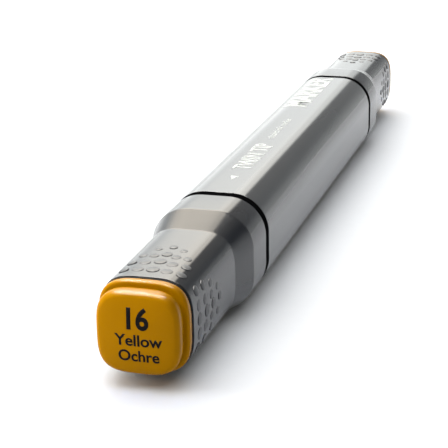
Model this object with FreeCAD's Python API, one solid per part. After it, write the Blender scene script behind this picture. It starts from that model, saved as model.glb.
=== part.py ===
import FreeCAD, Part
import math
import os

# Twin-tip felt marker lying on one flat side of its rounded-square barrel.
# X runs along the marker: the broad end is at -X and the fine end at +X.
# Z is up and the barrel rests on z = 0.  Every length is in millimetres.
#
# Both ends share one layout.  An end is drawn pointing along +X about the X axis,
# with u as the distance outward from the seam between barrel and cap, and is then
# turned (broad end) or left as it is (fine end) and lifted to the barrel's height.

V = FreeCAD.Vector

# Outline of the barrel and of the cap collar
BODY_WIDTH = 15.0
BODY_CORNER = 5.5
SEAM_TO_SEAM = 80.0
SEAM_X = SEAM_TO_SEAM / 2
SEAM_GAP = 1.6
CAP_LENGTH = 36.0

# Ink side
BORE_RADIUS = 6.1
RESERVOIR_RADIUS = 5.5
FILM_THICKNESS = 0.25
RESERVOIR_HALF = 33.0
NIB_BITE = 4.0

# Nib holder
FLANGE_WIDTH = 14.92
FLANGE_CORNER = 5.46
TAIL_WALL = 1.1
NECK_RADIUS = 6.2
NECK_END = 6.0
LAND_RADIUS = 4.2
LAND_END = 12.5
HOLDER_WEB = 2.0

# Broad nib: a felt block with a round tail
BROAD_NIB_WIDTH = 6.2
BROAD_NIB_THICKNESS = 3.6
BROAD_NIB_EDGE = 0.6
LONG_EDGE = 1.0
BROAD_TAIL_RADIUS = 1.8
BROAD_SEAT = 9.0
BROAD_NOSE_END = 14.5
BROAD_NOSE_RADIUS = 3.85
BROAD_TIP = 21.0
CHISEL_DROP = 3.4

# Fine nib: a thin rod with a rounded point
FINE_NIB_RADIUS = 0.8
FINE_NOSE_END = 18.0
FINE_NOSE_RADIUS = 1.35
FINE_TIP = 21.0
FINE_POINT_RADIUS = 0.35
FINE_POINT_LENGTH = 1.5

# Cap shell
CAP_MOUTH = 0.9
COLLAR_END = 7.7
SHOULDER_END = 13.0
RIM = 31.5
GRIP_WIDTH_SHOULDER = 12.5
GRIP_WIDTH_RIM = 12.3
GRIP_CORNER = 3.33
GRIP_CROWN = 24.3
COLLAR_BORE_WIDTH = 12.7
COLLAR_BORE_CORNER = 4.35
GRIP_BORE_WIDTH = 10.2
GRIP_BORE_CORNER = 2.4

# Raised dots on the four grip faces, in arched rows counted from the rim inward.
# Each row gives the middle dot's place, the step around the face from dot to dot, the middle
# dot's diameter, how much nearer the rim the outer dots sit, and the dots to each side.
DOT_ROWS = [(28.9, 1.95, 1.75, 0.2, 2), (25.9, 1.85, 1.7, 0.6, 2), (23.15, 1.52, 1.45, 0.75, 2),
            (20.4, 1.75, 1.15, 1.0, 1)]
DOT_SHRINK = 0.9
DOT_HEIGHT = 0.07
DOT_ROOT = 0.5

# Cap liner: seals on the holder's land and carries the plug
LINER_RADIUS = 5.05
LINER_BORE = 4.25
LINER_MOUTH = 8.0
LINER_WEB_START = 27.0
LINER_WEB_END = 28.0
LINER_FLANGE_WIDTH = 12.2
LINER_FLANGE_END = 32.0

# End plug: flange, neck and cushion
PLUG_FLANGE_WIDTH = 12.14
PLUG_FLANGE_END = 33.1
PLUG_FLANGE_EDGE = 0.35
PLUG_NECK_WIDTH = 9.8
PLUG_NECK_CORNER = 2.5
PLUG_NECK_END = 33.7
PLUG_SPIGOT_START = 28.4
PLUG_SPIGOT_WALL = 1.0
PLUG_OVERLAP = 0.5
CUSHION_WIDTH = 11.14
CUSHION_CORNER = 2.4
CUSHION_CROWN = 14.0
CUSHION_DOME = 45.0
CUSHION_EDGE = 0.8
CUSHION_REAR_EDGE = 0.25


def crown_layout(half, corner, crown):
    """Crown centre's inset, corner centre, and the lean where the crowned side meets the corner."""
    inset = crown - half
    reach = crown - corner
    centre = (math.sqrt(2 * reach ** 2 - inset ** 2) - inset) / 2
    return inset, centre, math.asin(centre / reach)


def section(u, width, corner, crown=None):
    """Rounded-square wire across the axis; its sides bow outward when a crown radius is given."""
    half = width / 2
    if crown is None:
        centre = half - corner
        side_end = (half, centre)
    else:
        inset, centre, lean = crown_layout(half, corner, crown)
        side_end = (crown * math.cos(lean) - inset, crown * math.sin(lean))
    middle = centre + corner / math.sqrt(2)
    edges = []
    for quarter in range(4):
        turn = quarter * math.pi / 2

        def place(y, z):
            return V(u, y * math.cos(turn) - z * math.sin(turn), y * math.sin(turn) + z * math.cos(turn))

        low, high = place(side_end[0], -side_end[1]), place(*side_end)
        if crown is None:
            edges.append(Part.makeLine(low, high))
        else:
            edges.append(Part.Arc(low, place(half, 0), high).toShape())
        edges.append(Part.Arc(high, place(middle, middle), place(side_end[1], side_end[0])).toShape())
    return Part.Wire(edges)


def prism(start, end, width, corner, crown=None):
    """Solid with one rounded-square section from start to end."""
    return Part.Face(section(start, width, corner, crown)).extrude(V(end - start, 0, 0))


def taper(first, last):
    """Solid blending one section into another."""
    return Part.makeLoft([first, last], True, True)


def rod(start, end, radius):
    return Part.makeCylinder(radius, end - start, V(start, 0, 0), V(1, 0, 0))


def cone(start, end, start_radius, end_radius):
    return Part.makeCone(start_radius, end_radius, end - start, V(start, 0, 0), V(1, 0, 0))


def joined(first, *others):
    return first.multiFuse(list(others)).removeSplitter()


def edges_at(shape, u):
    """Edges lying wholly in the plane across the axis at u."""
    flat = 1e-4
    return [edge for edge in shape.Edges
            if abs(edge.BoundBox.XMin - u) < flat and abs(edge.BoundBox.XMax - u) < flat]


def make_barrel():
    half = SEAM_X - SEAM_GAP / 2
    tube = prism(-half, half, BODY_WIDTH, BODY_CORNER)
    return tube.cut(rod(-half, half, BORE_RADIUS))


def make_reservoir():
    """Fibre rod, pierced at each end by the tail of a nib."""
    core = rod(-RESERVOIR_HALF, RESERVOIR_HALF, RESERVOIR_RADIUS)
    broad_hole = rod(-RESERVOIR_HALF, NIB_BITE - RESERVOIR_HALF, BROAD_TAIL_RADIUS)
    fine_hole = rod(RESERVOIR_HALF - NIB_BITE, RESERVOIR_HALF, FINE_NIB_RADIUS)
    return core.cut(broad_hole).cut(fine_hole)


def make_film():
    """Thin film sleeve around the fibre rod."""
    outer = rod(-RESERVOIR_HALF, RESERVOIR_HALF, RESERVOIR_RADIUS + FILM_THICKNESS)
    return outer.cut(rod(-RESERVOIR_HALF, RESERVOIR_HALF, RESERVOIR_RADIUS))


def holder_body():
    """Tail in the barrel bore, square flange at the seam, neck for the cap and land for the liner."""
    face = SEAM_GAP / 2
    tail_start = RESERVOIR_HALF - SEAM_X
    tail = rod(tail_start, -face, BORE_RADIUS)
    flange = prism(-face, face, FLANGE_WIDTH, FLANGE_CORNER)
    neck = rod(face, NECK_END, NECK_RADIUS)
    land = rod(NECK_END, LAND_END, LAND_RADIUS)
    body = joined(tail, flange, neck, land)
    hollow = rod(tail_start, NECK_END - HOLDER_WEB, BORE_RADIUS - TAIL_WALL)
    return body.cut(hollow)


def make_broad_holder():
    nose = cone(LAND_END, BROAD_NOSE_END, LAND_RADIUS, BROAD_NOSE_RADIUS)
    bore = rod(0, BROAD_SEAT, BROAD_TAIL_RADIUS)
    return joined(holder_body(), nose).cut(bore).cut(broad_block(BROAD_NOSE_END))


def broad_block(end):
    """Felt block with rounded long edges, from its seat in the holder to a given end."""
    block = Part.makeBox(end - BROAD_SEAT, BROAD_NIB_WIDTH, BROAD_NIB_THICKNESS,
                         V(BROAD_SEAT, -BROAD_NIB_WIDTH / 2, -BROAD_NIB_THICKNESS / 2))
    long_edges = [edge for edge in block.Edges if edge.BoundBox.XLength > LONG_EDGE]
    return block.makeFillet(BROAD_NIB_EDGE, long_edges)


def make_broad_nib():
    """Chisel nib: the block's end is cut on a slant across its width."""
    half = BROAD_NIB_WIDTH / 2
    corners = [V(BROAD_TIP, -half, 0), V(BROAD_TIP - CHISEL_DROP, half, 0),
               V(BROAD_TIP, half, 0), V(BROAD_TIP, -half, 0)]
    cutter = Part.Face(Part.makePolygon(corners)).extrude(V(0, 0, BROAD_NIB_THICKNESS))
    cutter.translate(V(0, 0, -BROAD_NIB_THICKNESS / 2))
    tail = rod(RESERVOIR_HALF - NIB_BITE - SEAM_X, BROAD_SEAT, BROAD_TAIL_RADIUS)
    return joined(broad_block(BROAD_TIP).cut(cutter), tail)


def make_fine_holder():
    nose = cone(LAND_END, FINE_NOSE_END, LAND_RADIUS, FINE_NOSE_RADIUS)
    return joined(holder_body(), nose).cut(rod(0, FINE_NOSE_END, FINE_NIB_RADIUS))


def make_fine_nib():
    """Thin rod drawn down to a small rounded point."""
    shank_end = FINE_TIP - FINE_POINT_LENGTH
    cone_end = FINE_TIP - FINE_POINT_RADIUS
    shank = rod(RESERVOIR_HALF - NIB_BITE - SEAM_X, shank_end, FINE_NIB_RADIUS)
    point = cone(shank_end, cone_end, FINE_NIB_RADIUS, FINE_POINT_RADIUS)
    ball = Part.makeSphere(FINE_POINT_RADIUS, V(cone_end, 0, 0))
    return joined(shank, point, ball)


def grip_surface(u, around):
    """Point on the top grip face, and its outward direction, a given distance around from the middle."""
    share = (u - SHOULDER_END) / (RIM - SHOULDER_END)
    half = (GRIP_WIDTH_SHOULDER + share * (GRIP_WIDTH_RIM - GRIP_WIDTH_SHOULDER)) / 2
    inset, corner, crown_lean = crown_layout(half, GRIP_CORNER, GRIP_CROWN)
    beyond = max(abs(around) - GRIP_CROWN * crown_lean, 0)
    lean = min(abs(around) / GRIP_CROWN, crown_lean) + beyond / GRIP_CORNER
    if beyond > 0:
        y, z = corner + GRIP_CORNER * math.sin(lean), corner + GRIP_CORNER * math.cos(lean)
    else:
        y, z = GRIP_CROWN * math.sin(lean), GRIP_CROWN * math.cos(lean) - inset
    side = math.copysign(1, around)
    return V(u, side * y, z), V(0, side * math.sin(lean), math.cos(lean))


def grip_dots():
    """Raised dots in arched rows on each of the four grip faces."""
    dots = []
    for u, step, diameter, arch, reach in DOT_ROWS:
        for column in range(-reach, reach + 1):
            row_u = u + (arch if column else 0)
            radius = diameter * DOT_SHRINK ** abs(column) / 2
            place, outward = grip_surface(row_u, column * step)
            foot = place - outward * DOT_ROOT
            dot = Part.makeCylinder(radius, DOT_ROOT + DOT_HEIGHT, foot, outward)
            for quarter in range(4):
                turned = dot.copy()
                turned.rotate(V(0, 0, 0), V(1, 0, 0), quarter * 90)
                dots.append(turned)
    return dots


def make_cap_shell():
    """Collar as wide as the barrel, sloped shoulder and slimmer crowned grip; open at both ends."""
    shoulder_wire = section(SHOULDER_END, GRIP_WIDTH_SHOULDER, GRIP_CORNER, GRIP_CROWN)
    rim_wire = section(RIM, GRIP_WIDTH_RIM, GRIP_CORNER, GRIP_CROWN)
    collar = prism(CAP_MOUTH, COLLAR_END, BODY_WIDTH, BODY_CORNER)
    shoulder = taper(section(COLLAR_END, BODY_WIDTH, BODY_CORNER), shoulder_wire)
    grip = taper(shoulder_wire, rim_wire)
    outer = collar.multiFuse([shoulder, grip] + grip_dots())

    collar_bore = prism(CAP_MOUTH, COLLAR_END, COLLAR_BORE_WIDTH, COLLAR_BORE_CORNER)
    shoulder_bore = taper(section(COLLAR_END, COLLAR_BORE_WIDTH, COLLAR_BORE_CORNER),
                          section(SHOULDER_END, GRIP_BORE_WIDTH, GRIP_BORE_CORNER))
    grip_bore = prism(SHOULDER_END, RIM, GRIP_BORE_WIDTH, GRIP_BORE_CORNER)
    return outer.cut(joined(collar_bore, shoulder_bore, grip_bore))


def make_cap_liner():
    """Tube closed by a web: its mouth seals on the holder, its far end holds the plug."""
    tube = rod(LINER_MOUTH, RIM, LINER_RADIUS)
    flange = prism(RIM, LINER_FLANGE_END, LINER_FLANGE_WIDTH, GRIP_CORNER, GRIP_CROWN)
    body = joined(tube, flange)
    nib_side = rod(LINER_MOUTH, LINER_WEB_START, LINER_BORE)
    plug_side = rod(LINER_WEB_END, LINER_FLANGE_END, LINER_BORE)
    return body.cut(nib_side).cut(plug_side)


def make_cap_plug():
    """Colour plug: hollow spigot, flange against the liner, narrow neck and a cushion-shaped head."""
    flange = prism(LINER_FLANGE_END, PLUG_FLANGE_END, PLUG_FLANGE_WIDTH, GRIP_CORNER, GRIP_CROWN)
    flange = flange.makeFillet(PLUG_FLANGE_EDGE, edges_at(flange, PLUG_FLANGE_END))
    neck = prism(LINER_FLANGE_END + PLUG_OVERLAP, PLUG_NECK_END + PLUG_OVERLAP,
                 PLUG_NECK_WIDTH, PLUG_NECK_CORNER)
    cushion = prism(PLUG_NECK_END, CAP_LENGTH, CUSHION_WIDTH, CUSHION_CORNER, CUSHION_CROWN)
    dome = Part.makeSphere(CUSHION_DOME)
    dome.rotate(V(0, 0, 0), V(0, 0, 1), 180)  # keeps the sphere's seam off the plug's face
    dome.translate(V(CAP_LENGTH - CUSHION_DOME, 0, 0))
    cushion = cushion.common(dome)
    front = [edge for edge in cushion.Edges
             if edge.BoundBox.XMin > (PLUG_NECK_END + CAP_LENGTH) / 2]
    cushion = cushion.makeFillet(CUSHION_EDGE, front)
    cushion = cushion.makeFillet(CUSHION_REAR_EDGE, edges_at(cushion, PLUG_NECK_END))
    spigot = rod(PLUG_SPIGOT_START, LINER_FLANGE_END + PLUG_OVERLAP, LINER_BORE)
    hollow = rod(PLUG_SPIGOT_START, LINER_FLANGE_END - PLUG_SPIGOT_WALL, LINER_BORE - PLUG_SPIGOT_WALL)
    return joined(flange, neck, cushion, spigot).cut(hollow)


def at_broad_end(shape):
    """Move an end drawn about the X axis to the -X end of the barrel, turned to point along -X."""
    placed = shape.copy()
    placed.translate(V(SEAM_X, 0, BODY_WIDTH / 2))
    placed.rotate(V(0, 0, 0), V(0, 0, 1), 180)
    return placed


def at_fine_end(shape):
    placed = shape.copy()
    placed.translate(V(SEAM_X, 0, BODY_WIDTH / 2))
    return placed


def on_axis(shape):
    placed = shape.copy()
    placed.translate(V(0, 0, BODY_WIDTH / 2))
    return placed


def build():
    shell, liner, plug = make_cap_shell(), make_cap_liner(), make_cap_plug()
    return {
        "barrel": on_axis(make_barrel()),
        "ink_reservoir": on_axis(make_reservoir()),
        "reservoir_film": on_axis(make_film()),
        "broad_nib_holder": at_broad_end(make_broad_holder()),
        "broad_nib": at_broad_end(make_broad_nib()),
        "broad_cap_shell": at_broad_end(shell),
        "broad_cap_liner": at_broad_end(liner),
        "broad_cap_plug": at_broad_end(plug),
        "fine_nib_holder": at_fine_end(make_fine_holder()),
        "fine_nib": at_fine_end(make_fine_nib()),
        "fine_cap_shell": at_fine_end(shell),
        "fine_cap_liner": at_fine_end(liner),
        "fine_cap_plug": at_fine_end(plug),
    }


os.makedirs("parts", exist_ok=True)
for name, shape in build().items():
    solid = shape.Solids[0]
    print(name, "solids", len(shape.Solids), "valid", solid.isValid(), "volume", round(solid.Volume, 2))
    solid.exportStep("parts/" + name + ".step")
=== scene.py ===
# %% [markdown]
# # A twin-tip felt marker
# A square-bodied art marker lies on a white table. It has a pull-off cap at each end, a raised-dot
# grip on each cap, and a plug in the ink's colour that closes the cap. The structure comes from the
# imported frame: this lesson gives each piece its moulded shape, its finish, and the light it sits in.

# %% Load the frame
import bmesh
import bpy
import math
from mathutils import Matrix, Vector


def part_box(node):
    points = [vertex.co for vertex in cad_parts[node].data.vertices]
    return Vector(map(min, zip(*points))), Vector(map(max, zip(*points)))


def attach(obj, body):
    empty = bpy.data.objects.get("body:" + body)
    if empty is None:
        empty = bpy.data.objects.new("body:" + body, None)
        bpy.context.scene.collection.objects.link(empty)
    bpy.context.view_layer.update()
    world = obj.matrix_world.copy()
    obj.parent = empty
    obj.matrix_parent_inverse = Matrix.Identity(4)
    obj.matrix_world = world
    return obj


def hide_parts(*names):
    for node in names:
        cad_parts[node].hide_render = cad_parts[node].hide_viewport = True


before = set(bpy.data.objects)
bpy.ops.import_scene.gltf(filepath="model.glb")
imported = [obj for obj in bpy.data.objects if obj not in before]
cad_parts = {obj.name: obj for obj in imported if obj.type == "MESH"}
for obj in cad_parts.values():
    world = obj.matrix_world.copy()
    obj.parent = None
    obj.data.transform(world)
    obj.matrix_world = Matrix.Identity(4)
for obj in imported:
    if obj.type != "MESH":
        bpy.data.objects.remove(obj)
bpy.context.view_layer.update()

MM = 0.001

# %% [markdown]
# Every size starts from the frame. The barrel's box gives the axis height and the half width. A black
# flange parts the barrel from each cap, and the seam is the flange's middle. Places along an end are
# counted outward from the seam, so both ends can share one recipe.

# %% Driving sizes
barrel_low, barrel_high = (Vector(corner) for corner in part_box("barrel"))
shell_low, shell_high = (Vector(corner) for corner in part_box("fine_cap_shell"))
liner_high = Vector(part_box("fine_cap_liner")[1])
plug_high = Vector(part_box("fine_cap_plug")[1])

AXIS_Z = (barrel_low.z + barrel_high.z) / 2
BODY_HALF = (barrel_high.z - barrel_low.z) / 2
BODY_CORNER = 5.5 * MM
SEAM_GAP = 1.6 * MM             # thickness of the flange between barrel and cap
SEAM_X = barrel_high.x + SEAM_GAP / 2
MOUTH = shell_low.x
RIM = shell_high.x
PLUG_BACK = liner_high.x
PLUG_FRONT = plug_high.x
COLLAR_END = SEAM_X + 7.7 * MM
SHOULDER_END = SEAM_X + 13.0 * MM
GRIP_HALF_SHOULDER = 6.25 * MM
GRIP_HALF_RIM = 6.15 * MM
print("axis height", round(AXIS_Z / MM, 2), "seam", round(SEAM_X / MM, 2),
      "plug's face", round(PLUG_FRONT / MM, 2))

# %% [markdown]
# Operators work on whatever is selected, and the frame arrives with its nodes selected. So a few small
# helpers clear the selection, make one object the active one, and select points, edges or faces by
# where they are. Two more finish a mesh: one merges and shades it, the other rounds its sharp edges.

# %% Selection helpers
MERGE_GAP = 0.002 * MM
SMOOTH_ANGLE = 30.0
EASE_ANGLE = 30.0
EASE_SEGMENTS = 3


def nothing_selected():
    """Leaves edit mode and deselects every object."""
    if bpy.context.object and bpy.context.object.mode != "OBJECT":
        bpy.ops.object.mode_set(mode="OBJECT")
    bpy.ops.object.select_all(action="DESELECT")


def only(piece):
    """Makes one object the selected and active one."""
    nothing_selected()
    piece.select_set(True)
    bpy.context.view_layer.objects.active = piece


def pick(piece, keep, kind="verts"):
    """In edit mode, selects the points, edges or faces that keep() accepts and nothing else."""
    bpy.ops.mesh.select_all(action="DESELECT")
    mesh = bmesh.from_edit_mesh(piece.data)
    for element in getattr(mesh, kind):
        if keep(element):
            element.select_set(True)
    mesh.select_flush_mode()
    bmesh.update_edit_mesh(piece.data)


def finish_mesh(piece, smooth_angle=SMOOTH_ANGLE):
    """Merges doubled points, turns faces outward and shades smooth up to an angle."""
    only(piece)
    bpy.ops.object.mode_set(mode="EDIT")
    bpy.ops.mesh.select_all(action="SELECT")
    bpy.ops.mesh.remove_doubles(threshold=MERGE_GAP)
    bpy.ops.mesh.normals_make_consistent(inside=False)
    bpy.ops.object.mode_set(mode="OBJECT")
    bpy.ops.object.shade_smooth_by_angle(angle=math.radians(smooth_angle))


def ease_edges(piece, width, segments=EASE_SEGMENTS, angle=EASE_ANGLE):
    """Rounds every edge sharper than an angle, as a mould's edges are."""
    only(piece)
    bevel = piece.modifiers.new("eased edges", "BEVEL")
    bevel.width = width
    bevel.segments = segments
    bevel.limit_method = "ANGLE"
    bevel.angle_limit = math.radians(angle)
    bevel.use_clamp_overlap = True
    bpy.ops.object.modifier_apply(modifier=bevel.name)


print("helpers ready, points closer than", round(MERGE_GAP / MM, 4), "mm are merged")

# %% [markdown]
# The barrel, the caps and the plugs are all one rounded square that changes along the axis. A ring is
# a square plane stood across the axis with its corners rounded by a vertex bevel. A bevel profile of
# one half gives round corners between flat sides, and a fuller profile over the whole side gives the
# cushion outline of the grips. Every ring has the same number of points, so rings can be bridged.

# %% Rounded-square rings
CORNER_STEPS = 20
RING_POINTS = 4 * (CORNER_STEPS + 1)
ROUND = 0.5                     # bevel profile of a circular corner
CUSHION = 0.66                  # fuller profile, for a bowed face
CUSHION_REACH = 0.97            # share of the half width that a cushion's corner takes up


def add_ring(x, half, cushion=False):
    """Adds one rounded-square loop of edges across the axis to the mesh being edited."""
    bpy.ops.mesh.select_all(action="DESELECT")
    bpy.ops.mesh.primitive_plane_add(size=2 * half, location=(x, 0, AXIS_Z),
                                     rotation=(0, math.pi / 2, 0))
    corner = half * CUSHION_REACH if cushion else half * BODY_CORNER / BODY_HALF
    bpy.ops.mesh.bevel(offset=corner, offset_pct=0, segments=CORNER_STEPS, affect="VERTICES",
                       profile=CUSHION if cushion else ROUND, clamp_overlap=False)
    bpy.ops.mesh.delete(type="ONLY_FACE")


def ring_of(point):
    """The number of the ring that a point was added with."""
    return point.index // RING_POINTS


def ring_tube(name, rings, closed=False):
    """Bridges rings of (x, half width, cushion?) one after another; closed joins last to first."""
    nothing_selected()
    bpy.ops.mesh.primitive_plane_add(size=MM)
    piece = bpy.context.object
    piece.name = name
    bpy.ops.object.mode_set(mode="EDIT")
    bpy.ops.mesh.delete(type="VERT")
    for x, half, cushion in rings:
        add_ring(x, half, cushion)
    order = list(range(len(rings))) + ([0] if closed else [])
    for pair in zip(order, order[1:]):
        bpy.ops.mesh.select_mode(type="EDGE")
        pick(piece, lambda edge: ring_of(edge.verts[0]) in pair
             and ring_of(edge.verts[0]) == ring_of(edge.verts[1]), "edges")
        bpy.ops.mesh.bridge_edge_loops()
        bpy.ops.mesh.select_mode(type="VERT")
    bpy.ops.object.mode_set(mode="OBJECT")
    print(name, "rings", len(rings), "faces", len(piece.data.polygons))
    return piece


print("points in a ring:", RING_POINTS)

# %% [markdown]
# The barrel is a moulded tube with the same outline from end to end. On the real one the bore that
# the reservoir slides into is round. It is closed off by the holders' flanges and never shows, so a
# smaller rounded square stands for it here and the wall stays easy to bridge. The ends are eased.

# %% Barrel
BORE_HALF = 6.35 * MM
END_EASE = 0.04 * MM

barrel = ring_tube("barrel_tube", [
    (barrel_low.x, BODY_HALF, False), (barrel_high.x, BODY_HALF, False),
    (barrel_high.x, BORE_HALF, False), (barrel_low.x, BORE_HALF, False)], closed=True)
finish_mesh(barrel)
ease_edges(barrel, END_EASE)
finish_mesh(barrel)

# %% [markdown]
# The nib holder's black flange fills the seam between barrel and cap. Its edge is all that shows, down in
# a gap deep in shade that reads as a dead black line. A band laid just proud of the flange's edge paints
# that shade: a black finish with no gloss at all.

# %% Seam bands of painted shade
SHADE_BAND_HALF = 7.47 * MM
SHADE_BAND_INNER_HALF = 6.9 * MM
SHADE_BAND_REACH = SEAM_GAP / 2

# Painted shade: each band is a dead black ring over the seam's gap.
shade_bands = []
for end, side in (("broad", -1), ("fine", 1)):
    near, far = (side * SEAM_X - SHADE_BAND_REACH, side * SEAM_X + SHADE_BAND_REACH)
    band = ring_tube(end + "_seam_band", [(near, SHADE_BAND_HALF, False), (far, SHADE_BAND_HALF, False),
                                          (far, SHADE_BAND_INNER_HALF, False), (near, SHADE_BAND_INNER_HALF, False)],
                     closed=True)
    finish_mesh(band)
    shade_bands.append(band)
print("shade_bands", [band.name for band in shade_bands], "each", round(2 * SHADE_BAND_REACH / MM, 2), "mm wide")

# %% [markdown]
# A cap shell starts as wide as the barrel, slopes in over the shoulder and carries on as a slimmer
# grip with bowed faces. Going out along the outside and back along the inside makes one closed wall.
# The shoulder's two creases and the two rims are bevelled in edit mode, the creases a little wider.

# %% Cap shell
COLLAR_BORE_HALF = 6.35 * MM
GRIP_BORE_HALF = 5.1 * MM
CREASE_EASE = 0.22 * MM
RIM_EASE = 0.05 * MM
SAME_PLACE = 0.01 * MM


def lies_at(edge, places):
    """Whether both ends of an edge are at one of the places along the axis."""
    return any(all(abs(v.co.x - place) < SAME_PLACE for v in edge.verts) for place in places)


shell = ring_tube("fine_cap_moulding", [
    (MOUTH, BODY_HALF, False), (COLLAR_END, BODY_HALF, False),
    (SHOULDER_END, GRIP_HALF_SHOULDER, True), (RIM, GRIP_HALF_RIM, True),
    (RIM, GRIP_BORE_HALF, True), (SHOULDER_END, GRIP_BORE_HALF, True),
    (COLLAR_END, COLLAR_BORE_HALF, False), (MOUTH, COLLAR_BORE_HALF, False)], closed=True)
finish_mesh(shell)
only(shell)
bpy.ops.object.mode_set(mode="EDIT")
for places, width in (((COLLAR_END, SHOULDER_END), CREASE_EASE), ((MOUTH, RIM), RIM_EASE)):
    bpy.ops.mesh.select_mode(type="EDGE")
    pick(shell, lambda edge: lies_at(edge, places), "edges")
    bpy.ops.mesh.bevel(offset=width, segments=EASE_SEGMENTS, affect="EDGES")
bpy.ops.object.mode_set(mode="OBJECT")
finish_mesh(shell)
print("cap moulding from", round(MOUTH / MM, 2), "to", round(RIM / MM, 2), "mm")

# %% [markdown]
# The grips are covered with raised dots in arched rows, large by the rim and small further in. One
# dot is a low disc with a softened rim. It is modelled once, then copied round the four faces; each
# copy is turned to stand square on the curved face, and its foot is buried in the wall.

# %% Grip dots
# Millimetres from the seam, from column to column, across the middle dot, and outward from the middle
# dot to the others in its row; then how many columns stand each side of the middle.
DOT_ROWS = [
    (28.9, 1.95, 1.75, 0.2, 2),
    (25.9, 1.85, 1.7, 0.6, 2),
    (23.15, 1.52, 1.45, 0.75, 2),
    (20.4, 1.75, 1.15, 1.0, 1),
]
DOT_SHRINK = 0.9                # each column's dots against the last
DOT_HEIGHT = 0.07 * MM
DOT_ROOT = 0.4 * MM
DOT_SIDES = 28
DOT_EASE = 0.04 * MM
DOT_SMOOTH = 40.0
TOP_FACING = 0.9
GRIP_CROWN = 24.3 * MM          # radius of the grip's bowed face
GRIP_CORNER = 3.33 * MM


def grip_surface(x, around):
    """Sideways place, height above the axis and lean of a point some way round the top grip face."""
    share = (x - SHOULDER_END) / (RIM - SHOULDER_END)
    half = GRIP_HALF_SHOULDER + share * (GRIP_HALF_RIM - GRIP_HALF_SHOULDER)
    inset = GRIP_CROWN - half
    reach = GRIP_CROWN - GRIP_CORNER
    centre = (math.sqrt(2 * reach ** 2 - inset ** 2) - inset) / 2
    crown_lean = math.asin(centre / reach)
    beyond = max(abs(around) - GRIP_CROWN * crown_lean, 0)
    lean = min(abs(around) / GRIP_CROWN, crown_lean) + beyond / GRIP_CORNER
    if beyond > 0:
        place = Vector((centre + GRIP_CORNER * math.sin(lean), centre + GRIP_CORNER * math.cos(lean)))
    else:
        place = Vector((GRIP_CROWN * math.sin(lean), GRIP_CROWN * math.cos(lean) - inset))
    side = math.copysign(1, around)
    return side * place.x, place.y, side * lean


def model_dot():
    """One dot, a millimetre in radius, that stands on the origin with its foot below."""
    nothing_selected()
    bpy.ops.mesh.primitive_cylinder_add(vertices=DOT_SIDES, radius=MM, depth=DOT_HEIGHT + DOT_ROOT,
                                        location=(0, 0, (DOT_HEIGHT - DOT_ROOT) / 2))
    dot = bpy.context.object
    bpy.ops.object.mode_set(mode="EDIT")
    pick(dot, lambda face: face.normal.z > TOP_FACING, "faces")
    bpy.ops.mesh.bevel(offset=DOT_EASE, segments=EASE_SEGMENTS, affect="EDGES")
    bpy.ops.object.mode_set(mode="OBJECT")
    bpy.ops.object.transform_apply(location=True, rotation=True, scale=True)
    return dot


def place_dots(dot):
    """Copies the dot over the four faces of the fine cap's grip and joins the copies."""
    copies = []
    for u, step, diameter, arch, reach in DOT_ROWS:
        for column in range(-reach, reach + 1):
            x = SEAM_X + (u + (arch if column else 0)) * MM
            radius = diameter * DOT_SHRINK ** abs(column) / 2
            y, z, lean = grip_surface(x, column * step * MM)
            for quarter in range(4):
                turn = Matrix.Rotation(quarter * math.pi / 2, 4, "X")
                local = Matrix.Translation((0, y, z)) @ Matrix.Rotation(-lean, 4, "X")
                size = Matrix.Diagonal((radius, radius, 1, 1))
                copy = dot.copy()
                copy.data = dot.data.copy()
                copy.data.transform(Matrix.Translation((x, 0, AXIS_Z)) @ turn @ local @ size)
                bpy.context.collection.objects.link(copy)
                copies.append(copy)
    bpy.data.objects.remove(dot)
    nothing_selected()
    for copy in copies:
        copy.select_set(True)
    bpy.context.view_layer.objects.active = copies[0]
    bpy.ops.object.join()
    dots = bpy.context.object
    print("dots per cap", len(copies))
    return dots


dots = place_dots(model_dot())
dots.name = "fine_cap_dots"
finish_mesh(dots, DOT_SMOOTH)

# %% [markdown]
# The plug closes the cap's end: a spigot inside, a flange that sits on the black liner, a narrow neck,
# and a cushion with rounded edges and a gently domed face. Its outline keeps one shape while its width
# changes, so a profile of (place, half width) pairs is enough. Arcs are worked out, not typed in.

# %% End plug
FLANGE_HALF = 6.07 * MM
FLANGE_THICK = 1.1 * MM
FLANGE_EDGE = 0.35 * MM
FLANGE_BACK_EDGE = 0.1 * MM
NECK_HALF = 4.5 * MM
NECK_LONG = 0.6 * MM
HEAD_HALF = 5.54 * MM
HEAD_EDGE = 0.8 * MM
HEAD_BACK_EDGE = 0.25 * MM
DOME_RISE = 0.27 * MM
SPIGOT_HALF = 3.6 * MM
SPIGOT_LONG = 3.0 * MM
HEAD_TURN = 80                  # degrees of the head's front edge, where it meets the dome
FACE_RINGS = 10
PLUG_SMOOTH = 35.0


def arc(x, half, radius, start, end, steps):
    """Points of a rounded edge, as (place, half width), from one angle to another in degrees."""
    turns = [math.radians(start + (end - start) * step / steps) for step in range(steps + 1)]
    return [(x + radius * math.sin(turn), half + radius * math.cos(turn)) for turn in turns]


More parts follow.
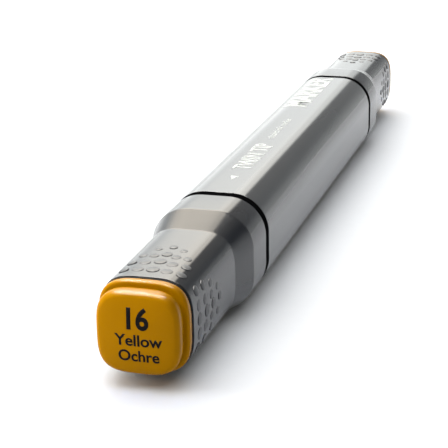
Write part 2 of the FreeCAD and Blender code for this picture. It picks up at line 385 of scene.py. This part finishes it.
def plug_profile():
    """The plug's outline from the spigot's end to a small ring round the middle of the face."""
    flange_front = PLUG_BACK + FLANGE_THICK
    neck_end = flange_front + NECK_LONG
    face_edge = PLUG_FRONT - DOME_RISE
    face_half = HEAD_HALF - HEAD_EDGE
    profile = [(PLUG_BACK - SPIGOT_LONG, SPIGOT_HALF), (PLUG_BACK, SPIGOT_HALF)]
    profile += arc(PLUG_BACK + FLANGE_BACK_EDGE, FLANGE_HALF - FLANGE_BACK_EDGE,
                   FLANGE_BACK_EDGE, -90, 0, 2)
    profile += arc(flange_front - FLANGE_EDGE, FLANGE_HALF - FLANGE_EDGE, FLANGE_EDGE, 0, 90, 6)
    profile += [(flange_front, NECK_HALF), (neck_end, NECK_HALF)]
    profile += arc(neck_end + HEAD_BACK_EDGE, HEAD_HALF - HEAD_BACK_EDGE, HEAD_BACK_EDGE, -90, 0, 4)
    profile += arc(face_edge - HEAD_EDGE, face_half, HEAD_EDGE, 0, HEAD_TURN, 8)
    for step in range(1, FACE_RINGS):
        half = face_half * (1 - step / FACE_RINGS)
        profile.append((PLUG_FRONT - DOME_RISE * (half / face_half) ** 2, half))
    return profile


plug = ring_tube("fine_cap_end_plug", [(x, half, True) for x, half in plug_profile()])
only(plug)
bpy.ops.object.mode_set(mode="EDIT")
for ring in (0, len(plug_profile()) - 1):
    pick(plug, lambda point: ring_of(point) == ring)
    bpy.ops.mesh.edge_face_add()
bpy.ops.object.mode_set(mode="OBJECT")
finish_mesh(plug, PLUG_SMOOTH)
print("plug stands", round((PLUG_FRONT - PLUG_BACK) / MM, 2), "mm out of the cap")

# %% [markdown]
# The two ends carry the same mouldings, so the broad end's shell, dots and plug are copies turned half
# round about the upright axis through the middle of the barrel. Half a turn keeps up as up.

# %% Turned copies for the broad end
def turned_copy(piece, name):
    """A copy with its own mesh, turned from the fine end to the broad end."""
    copy = piece.copy()
    copy.data = piece.data.copy()
    copy.name = name
    copy.data.transform(Matrix.Rotation(math.pi, 4, "Z"))
    bpy.context.collection.objects.link(copy)
    return copy


broad_shell = turned_copy(shell, "broad_cap_moulding")
broad_dots = turned_copy(dots, "broad_cap_dots")
broad_plug = turned_copy(plug, "broad_cap_end_plug")
print("broad end spans to", round(min(v.co.x for v in broad_plug.data.vertices) / MM, 2), "mm")

# %% [markdown]
# Holders, liners and nibs have their true shape in the frame already. What a solid from a drawing
# lacks is the small radius that every moulded edge has, and that is what catches the light. Each is
# copied, its loose triangles are merged, and its edges are eased.

# %% Eased copies of the working pieces
WORKING_SEGMENTS = 2
WORKING_ANGLE = 35.0


def eased_copy(node, name, width):
    """A copy of one of the frame's nodes with its sharp edges rounded."""
    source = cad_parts[node]
    piece = bpy.data.objects.new(name, source.data.copy())
    bpy.context.collection.objects.link(piece)
    piece.data.transform(source.matrix_world)
    finish_mesh(piece)
    ease_edges(piece, width, WORKING_SEGMENTS, WORKING_ANGLE)
    finish_mesh(piece)
    return piece


EASED = {
    "broad_nib_holder": ("broad_nib_holder_moulding", 0.06 * MM),
    "fine_nib_holder": ("fine_nib_holder_moulding", 0.06 * MM),
    "broad_cap_liner": ("broad_cap_liner_moulding", 0.05 * MM),
    "fine_cap_liner": ("fine_cap_liner_moulding", 0.05 * MM),
    "broad_nib": ("broad_nib_felt", 0.25 * MM),
    "fine_nib": ("fine_nib_felt", 0.08 * MM),
}
working = {node: eased_copy(node, name, width) for node, (name, width) in EASED.items()}
print("eased copies:", ", ".join(sorted(working)))

# %% [markdown]
# Three low ribs round each holder's neck give the cap something to snap over. A rib is a small rounded
# rectangle spun once round the axis, most of it sunk in the neck. It is spun at the fine end and
# turned for the broad end.

# %% Neck ribs
NECK_HIGH = 6.2 * MM
RIB_PLACES = (1.9, 3.3, 4.7)    # millimetres out from the seam
RIB_WIDE = 0.5 * MM
RIB_DEEP = 0.4 * MM
RIB_PROUD = 0.09 * MM
RIB_EASE = 0.08 * MM
SPIN_STEPS = 96


def neck_rib(name, u):
    """One rib, u millimetres outward from the fine seam."""
    nothing_selected()
    place = (SEAM_X + u * MM, 0, AXIS_Z + NECK_HIGH + RIB_PROUD - RIB_DEEP / 2)
    bpy.ops.mesh.primitive_plane_add(size=1, location=place, rotation=(math.pi / 2, 0, 0))
    rib = bpy.context.object
    rib.name = name
    rib.scale = (RIB_WIDE, RIB_DEEP, 1)
    bpy.ops.object.transform_apply(location=True, rotation=True, scale=True)
    bpy.ops.object.mode_set(mode="EDIT")
    bpy.ops.mesh.bevel(offset=RIB_EASE, segments=EASE_SEGMENTS, affect="VERTICES")
    bpy.ops.mesh.delete(type="ONLY_FACE")
    bpy.ops.mesh.select_all(action="SELECT")
    bpy.ops.mesh.spin(steps=SPIN_STEPS, angle=2 * math.pi, center=(0, 0, AXIS_Z), axis=(1, 0, 0))
    bpy.ops.object.mode_set(mode="OBJECT")
    finish_mesh(rib)
    return rib


ribs = [neck_rib(f"fine_neck_rib_{number + 1}", u) for number, u in enumerate(RIB_PLACES)]
ribs += [turned_copy(rib, rib.name.replace("fine", "broad")) for rib in list(ribs)]
print("ribs:", [rib.name for rib in ribs], "faces each", len(ribs[0].data.polygons))

# %% [markdown]
# A coloured plug carries a number and the colour's name, so that the right marker can be found in a
# row of them. The words here are plain ones. Letters start as a text object, become a mesh, are laid
# on the face from outside, and get a trace of thickness, like pad-printed ink.

# %% Printed lettering
INK_LIFT = 0.012 * MM
INK_THICK = 0.03 * MM
STRIP = 0.35 * MM               # width of the strips that let a word bend
LETTER_STEPS = 6                # points along each curve of a letter
DROP = 1.0 * MM                 # how far outside its face a word starts


def lettering(words, height, width, bold=0.0):
    """A flat mesh of the words, centred on the origin, stretched to a cap height and a width."""
    nothing_selected()
    bpy.ops.object.text_add()
    text = bpy.context.object
    text.data.body = words
    text.data.offset = bold
    text.data.resolution_u = LETTER_STEPS
    bpy.ops.object.convert(target="MESH")
    low = [min(v.co[axis] for v in text.data.vertices) for axis in (0, 1)]
    high = [max(v.co[axis] for v in text.data.vertices) for axis in (0, 1)]
    scale = (width / (high[0] - low[0]), height / (high[1] - low[1]), 1)
    text.data.transform(Matrix.Translation((-(low[0] + high[0]) / 2, -(low[1] + high[1]) / 2, 0)))
    text.data.transform(Matrix.Diagonal((*scale, 1)))
    return text


def slice_up(piece, axis, low, high, step):
    """Cuts a flat mesh into strips so that it can follow a curved face."""
    only(piece)
    bpy.ops.object.mode_set(mode="EDIT")
    place = low
    while place < high:
        bpy.ops.mesh.select_all(action="SELECT")
        point = [0, 0, 0]
        normal = [0, 0, 0]
        point[axis] = place
        normal[axis] = 1
        bpy.ops.mesh.bisect(plane_co=point, plane_no=normal)
        place += step
    bpy.ops.object.mode_set(mode="OBJECT")


def print_on(piece, target, axis, toward):
    """Drops a flat mesh onto a target along one axis and gives it the thickness of ink."""
    only(piece)
    wrap = piece.modifiers.new("laid on", "SHRINKWRAP")
    wrap.target = target
    wrap.wrap_method = "PROJECT"
    wrap.use_project_x = axis == 0
    wrap.use_project_z = axis == 2
    wrap.use_negative_direction = toward < 0
    wrap.use_positive_direction = toward > 0
    wrap.wrap_mode = "ABOVE_SURFACE"
    wrap.offset = INK_LIFT
    bpy.ops.object.modifier_apply(modifier=wrap.name)
    skin = piece.modifiers.new("ink", "SOLIDIFY")
    skin.thickness = INK_THICK
    skin.offset = -1
    bpy.ops.object.modifier_apply(modifier=skin.name)
    return piece


print("ink stands", round((INK_LIFT + INK_THICK) / MM, 3), "mm proud at most")

# %% [markdown]
# On the plug a tall condensed number stands over two lines of plain letters. A frame of three
# directions turns the flat words to face outward, and each line is set at its own height.

# %% Plug lettering
# Words, height and width in millimetres, boldness, and height of the middle above the axis.
PLUG_LINES = [
    ("16", 3.0, 2.9, 0.03, 2.2),
    ("Yellow", 1.55, 6.3, 0.022, -0.7),
    ("Ochre", 1.55, 5.4, 0.022, -2.8),
]
LINE_SHIFT = 0.25 * MM


def plug_lettering(name, target, outward):
    """Prints the plug's three lines on the face that looks along +X or -X."""
    across = Vector((0, outward, 0))
    lines = []
    for words, height, width, bold, rise in PLUG_LINES:
        line = lettering(words, height * MM, width * MM, bold)
        for axis, size in ((0, width), (1, height)):
            slice_up(line, axis, -size * MM, size * MM, STRIP)
        turn = Matrix((across, (0, 0, 1), (outward, 0, 0))).transposed().to_4x4()
        start = Vector((outward * (PLUG_FRONT + DROP), across.y * LINE_SHIFT, AXIS_Z + rise * MM))
        line.data.transform(Matrix.Translation(start) @ turn)
        lines.append(line)
    nothing_selected()
    for line in lines:
        line.select_set(True)
    bpy.context.view_layer.objects.active = lines[0]
    bpy.ops.object.join()
    lines[0].name = name
    return print_on(lines[0], target, 0, -outward)


broad_label = plug_lettering("broad_plug_lettering", broad_plug, -1)
fine_label = plug_lettering("fine_plug_lettering", plug, 1)
print("plug lettering faces:", len(broad_label.data.polygons), len(fine_label.data.polygons))

# %% [markdown]
# The barrel carries white print along its top face: a small wedge that points to the broad nib, a
# large line of letters, a small line, and a bold word near the fine end. The words are plain ones.
# The last stands a little to one side, so it runs on to the rounded corner.

# %% Barrel print
# Words, height and width in millimetres, boldness, and the middle's place along from the broad seam
# and sideways.
BARREL_PRINT = [
    ("TWIN TIP", 3.0, 15.2, 0.02, 20.6, 0.1),
    ("alcohol ink marker", 1.2, 13.6, 0.0, 38.6, 0.4),
    ("MARKER", 4.6, 24.0, 0.03, 66.5, 1.7),
]
WEDGE_LONG = 2.6 * MM
WEDGE_WIDE = 1.5 * MM
WEDGE_ALONG = 8.7 * MM
PRINT_FROM = AXIS_Z + BODY_HALF + DROP
near_seam = barrel_low.x - SEAM_GAP / 2


def barrel_print():
    """The wedge and the words along the barrel's top face, as one piece."""
    nothing_selected()
    bpy.ops.mesh.primitive_circle_add(vertices=3, radius=WEDGE_WIDE / 2, fill_type="NGON")
    wedge = bpy.context.object
    shape = Matrix.Rotation(math.pi / 2, 4, "Z") @ Matrix.Diagonal((1, WEDGE_LONG / WEDGE_WIDE, 1, 1))
    wedge.data.transform(Matrix.Translation((near_seam + WEDGE_ALONG, 0, PRINT_FROM)) @ shape)
    marks = [wedge]
    for words, height, width, bold, along, aside in BARREL_PRINT:
        line = lettering(words, height * MM, width * MM, bold)
        slice_up(line, 1, -height * MM, height * MM, STRIP)
        line.data.transform(Matrix.Translation((near_seam + along * MM, aside * MM, PRINT_FROM)))
        marks.append(line)
    nothing_selected()
    for mark in marks:
        mark.select_set(True)
    bpy.context.view_layer.objects.active = wedge
    bpy.ops.object.join()
    wedge.name = "barrel_lettering"
    return print_on(wedge, barrel, 2, -1)


barrel_label = barrel_print()
along_barrel = sorted(corner[0] for corner in barrel_label.bound_box)
print("barrel print from", round(along_barrel[0] / MM, 1), "to", round(along_barrel[-1] / MM, 1), "mm")

# %% [markdown]
# Finishes are small node graphs. Writing them as sums is easier to read than placing nodes, so one
# class wraps a socket and turns Python's operators into Math nodes, and one method makes any other
# node from its type, its settings and its inputs. A Mix node has several inputs of one name, so its
# colour sockets are taken by number.

# %% Shader shorthand
MIX_FIRST, MIX_SECOND, MIX_RESULT = 6, 7, 2


class Wire:
    """An output socket that can be used in sums."""

    def __init__(self, finish, socket):
        self.finish = finish
        self.socket = socket

    def _sum(self, operation, first, second):
        node = self.finish.tree.nodes.new("ShaderNodeMath")
        node.operation = operation
        for slot, value in zip(node.inputs, (first, second)):
            self.finish.feed(slot, value)
        return Wire(self.finish, node.outputs[0])

    def __add__(self, other):
        return self._sum("ADD", self, other)

    def __radd__(self, other):
        return self._sum("ADD", other, self)

    def __sub__(self, other):
        return self._sum("SUBTRACT", self, other)

    def __rsub__(self, other):
        return self._sum("SUBTRACT", other, self)

    def __mul__(self, other):
        return self._sum("MULTIPLY", self, other)

    def __rmul__(self, other):
        return self._sum("MULTIPLY", other, self)


class Finish:
    """A material under construction, with one principled shader."""

    def __init__(self, name, **fixed):
        self.material = bpy.data.materials.new(name)
        self.material.use_nodes = True
        self.tree = self.material.node_tree
        self.shader = next(node for node in self.tree.nodes if node.type == "BSDF_PRINCIPLED")
        for socket, value in fixed.items():
            self.shader.inputs[socket.replace("_", " ")].default_value = value

    def feed(self, slot, value):
        """Links a wire into a slot, or sets a plain value."""
        if isinstance(value, Wire):
            self.tree.links.new(value.socket, slot)
        else:
            slot.default_value = value

    def node(self, kind, settings=None, output=0, **inputs):
        """Makes a node: its settings first, then its inputs by name."""
        made = self.tree.nodes.new(kind)
        for key, value in (settings or {}).items():
            setattr(made, key, value)
        for key, value in inputs.items():
            self.feed(made.inputs[key.replace("_", " ")], value)
        return Wire(self, made.outputs[output])

    def place(self, scale=(1, 1, 1)):
        """Object coordinates, stretched."""
        where = self.node("ShaderNodeTexCoord", output="Object")
        return self.node("ShaderNodeMapping", Vector=where, Scale=scale)

    def noise(self, size, detail=2.0, stretch=(1, 1, 1), rough=0.5):
        """Noise between 0 and 1 whose blobs are about one size, in metres."""
        return self.node("ShaderNodeTexNoise", output="Fac", Vector=self.place(stretch),
                         Scale=1 / size, Detail=detail, Roughness=rough)

    def blend(self, factor, first, second):
        """Goes from the first colour to the second as the factor rises."""
        made = self.tree.nodes.new("ShaderNodeMix")
        made.data_type = "RGBA"
        self.feed(made.inputs["Factor"], factor)
        for slot, colour in ((MIX_FIRST, first), (MIX_SECOND, second)):
            self.feed(made.inputs[slot], (*colour, 1))
        return Wire(self, made.outputs[MIX_RESULT])

    def bump(self, height, distance, strength):
        """Raises the surface by a height, as a bump."""
        self.feed(self.shader.inputs["Normal"],
                  self.node("ShaderNodeBump", Height=height, Distance=distance, Strength=strength,
                            output="Normal"))

    def set(self, **wires):
        """Feeds the shader's sockets by name and hands back the material."""
        for key, value in wires.items():
            self.feed(self.shader.inputs[key.replace("_", " ")], value)
        return self.material


print("a mix node's colour sockets:", MIX_FIRST, MIX_SECOND, "result", MIX_RESULT)

# %% [markdown]
# The caps and barrel are grey plastic polished in the mould. Polished plastic mirrors the room at a
# low angle, so most of what shows is reflection, and the colour under it is darker than it looks. The
# caps' grey is set darker than the barrel's: that is painted shade, which deepens the caps' sides. The
# colour drifts very slightly, the roughness wanders a little, and the mould leaves a faint ripple.

# %% Moulded plastic
DRIFT_SIZE = 9 * MM
SPECK_SIZE = 0.35 * MM
RIPPLE_SIZE = 0.9 * MM
RIPPLE_DEEP = 0.004 * MM
RIPPLE_STRENGTH = 0.35
BROAD_SHARE, FINE_SHARE = 0.7, 0.3
ROUGH_DRIFT, ROUGH_SPECK = 0.06, 0.04


def moulded(name, light, dark, rough, **fixed):
    """Polished plastic between two shades, with a mean roughness."""
    finish = Finish(name, **fixed)
    drift = finish.noise(DRIFT_SIZE, 3.0)
    speck = finish.noise(SPECK_SIZE)
    ripple = finish.noise(RIPPLE_SIZE)
    finish.bump(ripple * BROAD_SHARE + speck * FINE_SHARE, RIPPLE_DEEP, RIPPLE_STRENGTH)
    return finish.set(Base_Color=finish.blend(drift * BROAD_SHARE + speck * FINE_SHARE, dark, light),
                      Roughness=rough + (drift - 0.5) * ROUGH_DRIFT + (speck - 0.5) * ROUGH_SPECK)


POLISHED = 0.13
BARREL_LIGHT, BARREL_DARK = (0.074, 0.078, 0.086), (0.062, 0.066, 0.073)
# Painted shade: the caps' and dots' greys are darker than the barrel's, to deepen the shade on the caps'
# sides.
CAP_SHADED_LIGHT, CAP_SHADED_DARK = (0.034, 0.037, 0.044), (0.027, 0.029, 0.035)
DOT_SHADED_LIGHT, DOT_SHADED_DARK = (0.036, 0.039, 0.046), (0.026, 0.029, 0.035)
barrel_grey = moulded("barrel_grey_plastic", BARREL_LIGHT, BARREL_DARK, POLISHED, IOR=1.42)
cap_grey = moulded("cap_grey_plastic", CAP_SHADED_LIGHT, CAP_SHADED_DARK, POLISHED, IOR=1.34)
dot_grey = moulded("dot_grey_plastic", DOT_SHADED_LIGHT, DOT_SHADED_DARK, 0.36, IOR=1.34)
print("greys:", barrel_grey.name, cap_grey.name, dot_grey.name)

# %% [markdown]
# The plug is saturated ochre. A weak reflection with a warm tint keeps the face deep in colour. The
# working parts are black, and each is duller than the last: the holders have a satin surface, the
# liners almost none. The seam bands are painted shade, dead matt black for the shade in the seam's gap.

# %% Ochre, blacks and film
OCHRE_LIGHT, OCHRE_DARK = (0.37, 0.163, 0.0), (0.32, 0.138, 0.0)
OCHRE_TINT = (1.0, 0.82, 0.28, 1)
BLACK_LIGHT, BLACK_DARK = (0.006, 0.006, 0.007), (0.003, 0.003, 0.003)
PAINTED_SHADE_DARK = (0.002, 0.002, 0.002)
FILM_LIGHT, FILM_DARK = (0.85, 0.87, 0.87), (0.78, 0.8, 0.8)
plug_ochre = moulded("plug_ochre_plastic", OCHRE_LIGHT, OCHRE_DARK, POLISHED,
                     Specular_Tint=OCHRE_TINT, Specular_IOR_Level=0.07)
holder_black = moulded("holder_black_plastic", BLACK_LIGHT, BLACK_DARK, 0.5, Specular_IOR_Level=0.12)
liner_black = moulded("liner_black_plastic", BLACK_LIGHT, BLACK_DARK, 0.6, Specular_IOR_Level=0.03)
film_clear = moulded("film_clear_wrap", FILM_LIGHT, FILM_DARK, 0.12, Alpha=0.35)
# Painted shade: near black and dead matt, for the shade in the gap at each seam.
painted_shade_black = moulded("seam_band_black", BLACK_LIGHT, PAINTED_SHADE_DARK, 0.8, Specular_IOR_Level=0.0)
print("ochre, blacks and film:", plug_ochre.name, holder_black.name, liner_black.name, film_clear.name,
      painted_shade_black.name)

# %% [markdown]
# Felt nibs are pressed fibre soaked with ink. Noise drawn out along the nib gives the strands, and
# the surface is rough. The reservoir is the same fibre, looser, behind its film.

# %% Fibre finishes
STRAND_STRETCH = (0.08, 1, 1)
BLOTCH_SIZE = 3 * MM
FIBRE_ROUGH, FIBRE_ROUGH_SPAN = 0.75, 0.2
FELT_LIGHT, FELT_DARK = (0.4, 0.19, 0.01), (0.13, 0.05, 0.003)
ROD_LIGHT, ROD_DARK = (0.4, 0.2, 0.02), (0.22, 0.1, 0.01)


def fibrous(name, light, dark, size, depth):
    """Inky fibre: strands of one thickness, standing up by a depth."""
    finish = Finish(name)
    strands = finish.noise(size, 4.0, STRAND_STRETCH, 0.7)
    blotch = finish.noise(BLOTCH_SIZE)
    finish.bump(strands, depth, 0.8)
    return finish.set(Base_Color=finish.blend(strands * BROAD_SHARE + blotch * FINE_SHARE, dark, light),
                      Roughness=FIBRE_ROUGH + strands * FIBRE_ROUGH_SPAN)


nib_felt = fibrous("nib_ink_felt", FELT_LIGHT, FELT_DARK, 0.26 * MM, 0.09 * MM)
reservoir_fibre = fibrous("reservoir_ink_fibre", ROD_LIGHT, ROD_DARK, 0.3 * MM, 0.08 * MM)
print("fibres:", nib_felt.name, reservoir_fibre.name)

# %% [markdown]
# Pad-printed ink is a thin dull film. Fine grain breaks up its colour and its surface a little.

# %% Ink finishes
INK_GRAIN = 0.12 * MM
INK_DEEP = 0.004 * MM
INK_ROUGH_SPAN = 0.1


def printed(name, light, dark, rough):
    """Printed ink between two shades."""
    finish = Finish(name, Specular_IOR_Level=0.06)
    grain = finish.noise(INK_GRAIN)
    finish.bump(grain, INK_DEEP, 0.5)
    return finish.set(Base_Color=finish.blend(grain, dark, light), Roughness=rough + grain * INK_ROUGH_SPAN)


ink_black = printed("lettering_black_ink", (0.008, 0.007, 0.008), (0.003, 0.003, 0.003), 0.45)
ink_white = printed("lettering_white_ink", (0.86, 0.9, 0.88), (0.78, 0.82, 0.8), 0.4)
print("inks:", ink_black.name, ink_white.name)

# %% [markdown]
# Each piece takes its finish, rides on its body, names the record's slot it is painted from, and
# stands for the node it replaces, if there is one. A table keeps these facts on one line. The
# reservoir and its film keep the frame's own shape and only get a finish.

# %% Assembly
PIECES = [
    (barrel, "barrel_body", barrel_grey, "barrel_grey", "barrel"),
    (barrel_label, "barrel_body", ink_white, "barrel_grey", None),
    # The two seam bands are painted shade over the gaps at the seams.
    (shade_bands[0], "barrel_body", painted_shade_black, "holder_black", None),
    (shade_bands[1], "barrel_body", painted_shade_black, "holder_black", None),
    (working["broad_nib_holder"], "barrel_body", holder_black, "holder_black", "broad_nib_holder"),
    (working["fine_nib_holder"], "barrel_body", holder_black, "holder_black", "fine_nib_holder"),
    (working["broad_nib"], "barrel_body", nib_felt, "nib_felt", "broad_nib"),
    (working["fine_nib"], "barrel_body", nib_felt, "nib_felt", "fine_nib"),
    (broad_shell, "broad_cap", cap_grey, "cap_grey", "broad_cap_shell"),
    (broad_dots, "broad_cap", dot_grey, "cap_grey", None),
    (broad_plug, "broad_cap", plug_ochre, "plug_broad", "broad_cap_plug"),
    (broad_label, "broad_cap", ink_black, "plug_broad", None),
    (working["broad_cap_liner"], "broad_cap", liner_black, "liner_black", "broad_cap_liner"),
    (shell, "fine_cap", cap_grey, "cap_grey", "fine_cap_shell"),
    (dots, "fine_cap", dot_grey, "cap_grey", None),
    (plug, "fine_cap", plug_ochre, "plug_fine", "fine_cap_plug"),
    (fine_label, "fine_cap", ink_black, "plug_fine", None),
    (working["fine_cap_liner"], "fine_cap", liner_black, "liner_black", "fine_cap_liner"),
    *((rib, "barrel_body", holder_black, "holder_black", None) for rib in ribs),
]

for piece, body, material, slot, node in PIECES:
    piece.data.materials.clear()
    piece.data.materials.append(material)
    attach(piece, body)
    if node:
        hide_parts(node)

for node, material in (("ink_reservoir", reservoir_fibre), ("reservoir_film", film_clear)):
    for material_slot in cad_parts[node].material_slots:
        material_slot.material = material
print("pieces placed:", len(PIECES))

# %% [markdown]
# The marker lies on a white table that has no edge in sight. The floor is a wide grid with a faint
# grain in its colour. Lamps over the marker can't light all of it evenly, so the floor glows a little
# more with distance, and the far part stays as white as the part under the marker.

# %% Floor
FLOOR_SIZE = 8.0
FLOOR_STEPS = 8
SWEEP_START = 0.25
SWEEP_END = 0.8
GRAIN_SIZE = 2 * MM
TABLE_LIGHT, TABLE_DARK = (0.88, 0.90, 0.93), (0.86, 0.88, 0.91)
NO_GLOW, FULL_GLOW = (0.0, 0.0, 0.0), (1.0, 1.0, 1.0)

nothing_selected()
bpy.ops.mesh.primitive_grid_add(x_subdivisions=FLOOR_STEPS, y_subdivisions=FLOOR_STEPS, size=FLOOR_SIZE,
                                location=(0, 0, 0))
floor = bpy.context.object
floor.name = "table_top"
table = Finish("table_white", Specular_IOR_Level=0.0, Emission_Strength=1.0)
grain = table.noise(GRAIN_SIZE, 3.0)
from_centre = table.node("ShaderNodeVectorMath", {"operation": "LENGTH"}, output="Value",
                         Vector=table.place())
distant = table.node("ShaderNodeMapRange", {"interpolation_type": "SMOOTHSTEP"}, Value=from_centre,
                     From_Min=SWEEP_START, From_Max=SWEEP_END)
floor.data.materials.append(table.set(Base_Color=table.blend(grain, TABLE_DARK, TABLE_LIGHT),
                                      Roughness=0.7 + grain * 0.1,
                                      Emission_Color=table.blend(distant, NO_GLOW, FULL_GLOW)))
print("floor", FLOOR_SIZE, "m wide, glow from", SWEEP_START, "to", SWEEP_END, "m")

# %% [markdown]
# Polished plastic shows the room it stands in, so the room is the world shader, worked out from the
# direction of a ray. Beyond the marker's far end it is bright on the left, brighter higher up, and
# dim on the right with an almost black patch. Behind the camera it is an even, plain room. A ray from
# the camera sees plain white. A matt surface gets only a share of the room, so that the lamps and not
# the room draw the shadow.

# %% Room values
DARK_NEAR = 0.38                # dim side, high up
DARK_LOW = 0.5                  # what the dim side gains near the table
LIT_LOW = 2.3                   # bright side, near the table
LIT_RISE = 4.8                  # what the bright side gains higher up
LIT_EDGE = 0.8                  # share left at the bright side's border
ROOF_LOSS = 0.8                 # share lost overhead
PATCH_LOSS = 0.97               # share lost in the black patch
FRONT = 0.9                     # the room behind the camera
SPILL = 0.25                    # share of the room that a matt surface gets
COOL = (0.97, 1.0, 0.985)
WARM = (1.0, 0.92, 0.79)
# Each pair is where a change starts and ends, as a part of a direction of length one.
SIDE_BORDER = (-0.02, 0.04)
EDGE_BAND = (0.1, 0.16)
ROOF_BAND = (0.74, 0.88)
RISE_BAND = (0.2, 0.55)
HAZE_BAND = (0.02, 0.25)
PATCH_ASIDE = (0.25, 0.58)
PATCH_ABOVE = (0.1, 0.35)
FAR_BAND = (0.08, 0.35)
WARM_BAND = (0.2, 0.6)
print("bright side", LIT_LOW, "to", LIT_LOW + LIT_RISE, "dim side", DARK_NEAR, "to", DARK_NEAR + DARK_LOW)


# %% Room light
class Room(Finish):
    """The world's node tree, built with the same shorthand."""

    def __init__(self, world):
        self.tree = world.node_tree
        self.tree.nodes.clear()

    def ramp(self, value, band):
        """Rises smoothly from 0 to 1 over a band of values."""
        return self.node("ShaderNodeMapRange", {"interpolation_type": "SMOOTHSTEP"}, Value=value,
                         From_Min=band[0], From_Max=band[1])


room = bpy.data.worlds.new("studio_room")
bpy.context.scene.world = room
room.use_nodes = True
sky = Room(room)
toward = sky.node("ShaderNodeTexCoord", output="Generated")
ahead, aside, above = (sky.node("ShaderNodeSeparateXYZ", Vector=toward, output=axis) for axis in "XYZ")
lit_side = sky.ramp(aside, SIDE_BORDER)
edge = LIT_EDGE + sky.ramp(aside, EDGE_BAND) * (1 - LIT_EDGE)
roof = 1 - sky.ramp(above, ROOF_BAND) * ROOF_LOSS
lit = (LIT_LOW + sky.ramp(above, RISE_BAND) * LIT_RISE) * edge * roof
haze = DARK_NEAR + (1 - sky.ramp(above, HAZE_BAND)) * DARK_LOW
dark = haze * (1 - sky.ramp(0 - aside, PATCH_ASIDE) * sky.ramp(above, PATCH_ABOVE) * PATCH_LOSS)
beyond = lit * lit_side + dark * (1 - lit_side)
far_end = sky.ramp(ahead - aside * lit_side, FAR_BAND)
mirrored = beyond * far_end + FRONT * (1 - far_end)
seen = sky.node("ShaderNodeLightPath", output="Is Camera Ray")
matt = sky.node("ShaderNodeLightPath", output="Is Diffuse Ray")
glow = sky.node("ShaderNodeBackground",
                Strength=mirrored * (1 - matt * (1 - SPILL)) * (1 - seen) + seen,
                Color=sky.blend(sky.ramp(above, WARM_BAND) * (1 - seen), COOL, WARM))
out = sky.tree.nodes.new("ShaderNodeOutputWorld")
sky.feed(out.inputs["Surface"], glow)
print("nodes in the room:", len(sky.tree.nodes))

# %% [markdown]
# Softboxes hang over the table. A wide one shows only in reflections: it draws the bright top faces
# and edges that make plastic read as polished. The others only light surfaces, gently: one overhead
# on each side, one low on the marker's left, and one in front and far to the left. A few are flagged,
# so that they reach only chosen pieces, by linking the lamp to a collection. One lights the floor
# alone and keeps the shadow soft and close. Two serve the plugs: a lamp on the near face, and a second
# wide glint, bluish, that cools the ochre's tinted reflection to cream.

# %% Softboxes
GLINT_AT, GLINT_SIZE = (-0.05, 0.12, 0.5), (0.75, 0.5)
GLINT_WHITE, GLINT_BLUE = (1.0, 0.96, 0.9), (0.23, 0.43, 1.0)
SKYLIGHT, LAMPLIGHT = (0.93, 0.96, 1.0), (1.0, 0.98, 0.94)
FLOOR_LIGHT, TABLE_GLOW = (0.98, 0.99, 1.0), (1.0, 0.99, 0.97)
PLUGS = (broad_plug, plug)
# Name, place and size in metres, watts, colour, whether it only shows in reflections, and the pieces
# it reaches (none named means all).
SOFTBOXES = [
    ("glint_softbox", GLINT_AT, GLINT_SIZE, 36.0, GLINT_WHITE, True, ()),
    ("left_softbox", (0.05, 0.12, 1.0), (0.9, 0.5), 3.5, SKYLIGHT, False, ()),
    ("right_softbox", (0.1, -0.35, 1.0), (0.9, 0.5), 0.9, SKYLIGHT, False, ()),
    ("floor_softbox", (0.0, -0.05, 0.7), (1.2, 1.0), 3.4, FLOOR_LIGHT, False, (floor,)),
    ("table_softbox", (0.05, 0.14, 0.2), (0.3, 0.12), 0.3, TABLE_GLOW, False, ()),
    ("front_softbox", (-0.3, 0.8, 0.5), (0.4, 0.4), 2.5, LAMPLIGHT, False, ()),
    ("plug_softbox", (-0.22, 0.6, 0.62), (0.3, 0.3), 14.0, LAMPLIGHT, False, (broad_plug,)),
    ("plug_glint", GLINT_AT, GLINT_SIZE, 1000.0, GLINT_BLUE, True, PLUGS),
]


def softbox(name, place, size, power, colour, glint, reaches):
    """A rectangular lamp; one that isn't a glint is turned to face the marker."""
    lamp = bpy.data.lights.new(name, "AREA")
    lamp.shape = "RECTANGLE"
    lamp.size, lamp.size_y = size
    lamp.energy = power
    lamp.color = colour
    box = bpy.data.objects.new(name, lamp)
    box.location = place
    if not glint:
        box.rotation_euler = Vector(place).to_track_quat("Z", "Y").to_euler()
    box.visible_diffuse = not glint
    box.visible_glossy = glint
    bpy.context.collection.objects.link(box)
    if reaches:
        flagged = bpy.data.collections.new(name + "_reach")
        for piece in reaches:
            flagged.objects.link(piece)
        box.light_linking.receiver_collection = flagged


for row in SOFTBOXES:
    softbox(*row)
print("softboxes:", len(SOFTBOXES), "flagged:", [row[0] for row in SOFTBOXES if row[-1]])

# %% [markdown]
# The camera looks down the marker from just beyond its broad end, a little to one side and above,
# through a long lens. Its place and turn are written as yaw, pitch and roll, in radians.

# %% Camera
CAMERA_AT = Vector((-224.63, -56.09, 74.82)) * MM
YAW, PITCH, ROLL = 0.2904, 0.3226, -0.019
SENSOR = 36.0
LENS = 111.48
NEAR_CLIP = 10 * MM

forward = Vector((math.cos(YAW) * math.cos(PITCH), math.sin(YAW) * math.cos(PITCH), -math.sin(PITCH)))
right = forward.cross(Vector((0, 0, 1))).normalized()
up = right.cross(forward)
right, up = (right * math.cos(ROLL) + up * math.sin(ROLL), up * math.cos(ROLL) - right * math.sin(ROLL))
lens = bpy.data.cameras.new("camera")
lens.sensor_width = SENSOR
lens.lens = LENS
lens.clip_start = NEAR_CLIP
camera = bpy.data.objects.new("camera", lens)
camera.matrix_world = (Matrix.Translation(CAMERA_AT)
                       @ Matrix((right, up, -forward)).transposed().to_4x4())
bpy.context.collection.objects.link(camera)
bpy.context.scene.camera = camera
bpy.context.scene.view_settings.view_transform = "Standard"
print("camera", round(CAMERA_AT.length / MM), "mm from the marker's middle, lens", LENS, "mm")
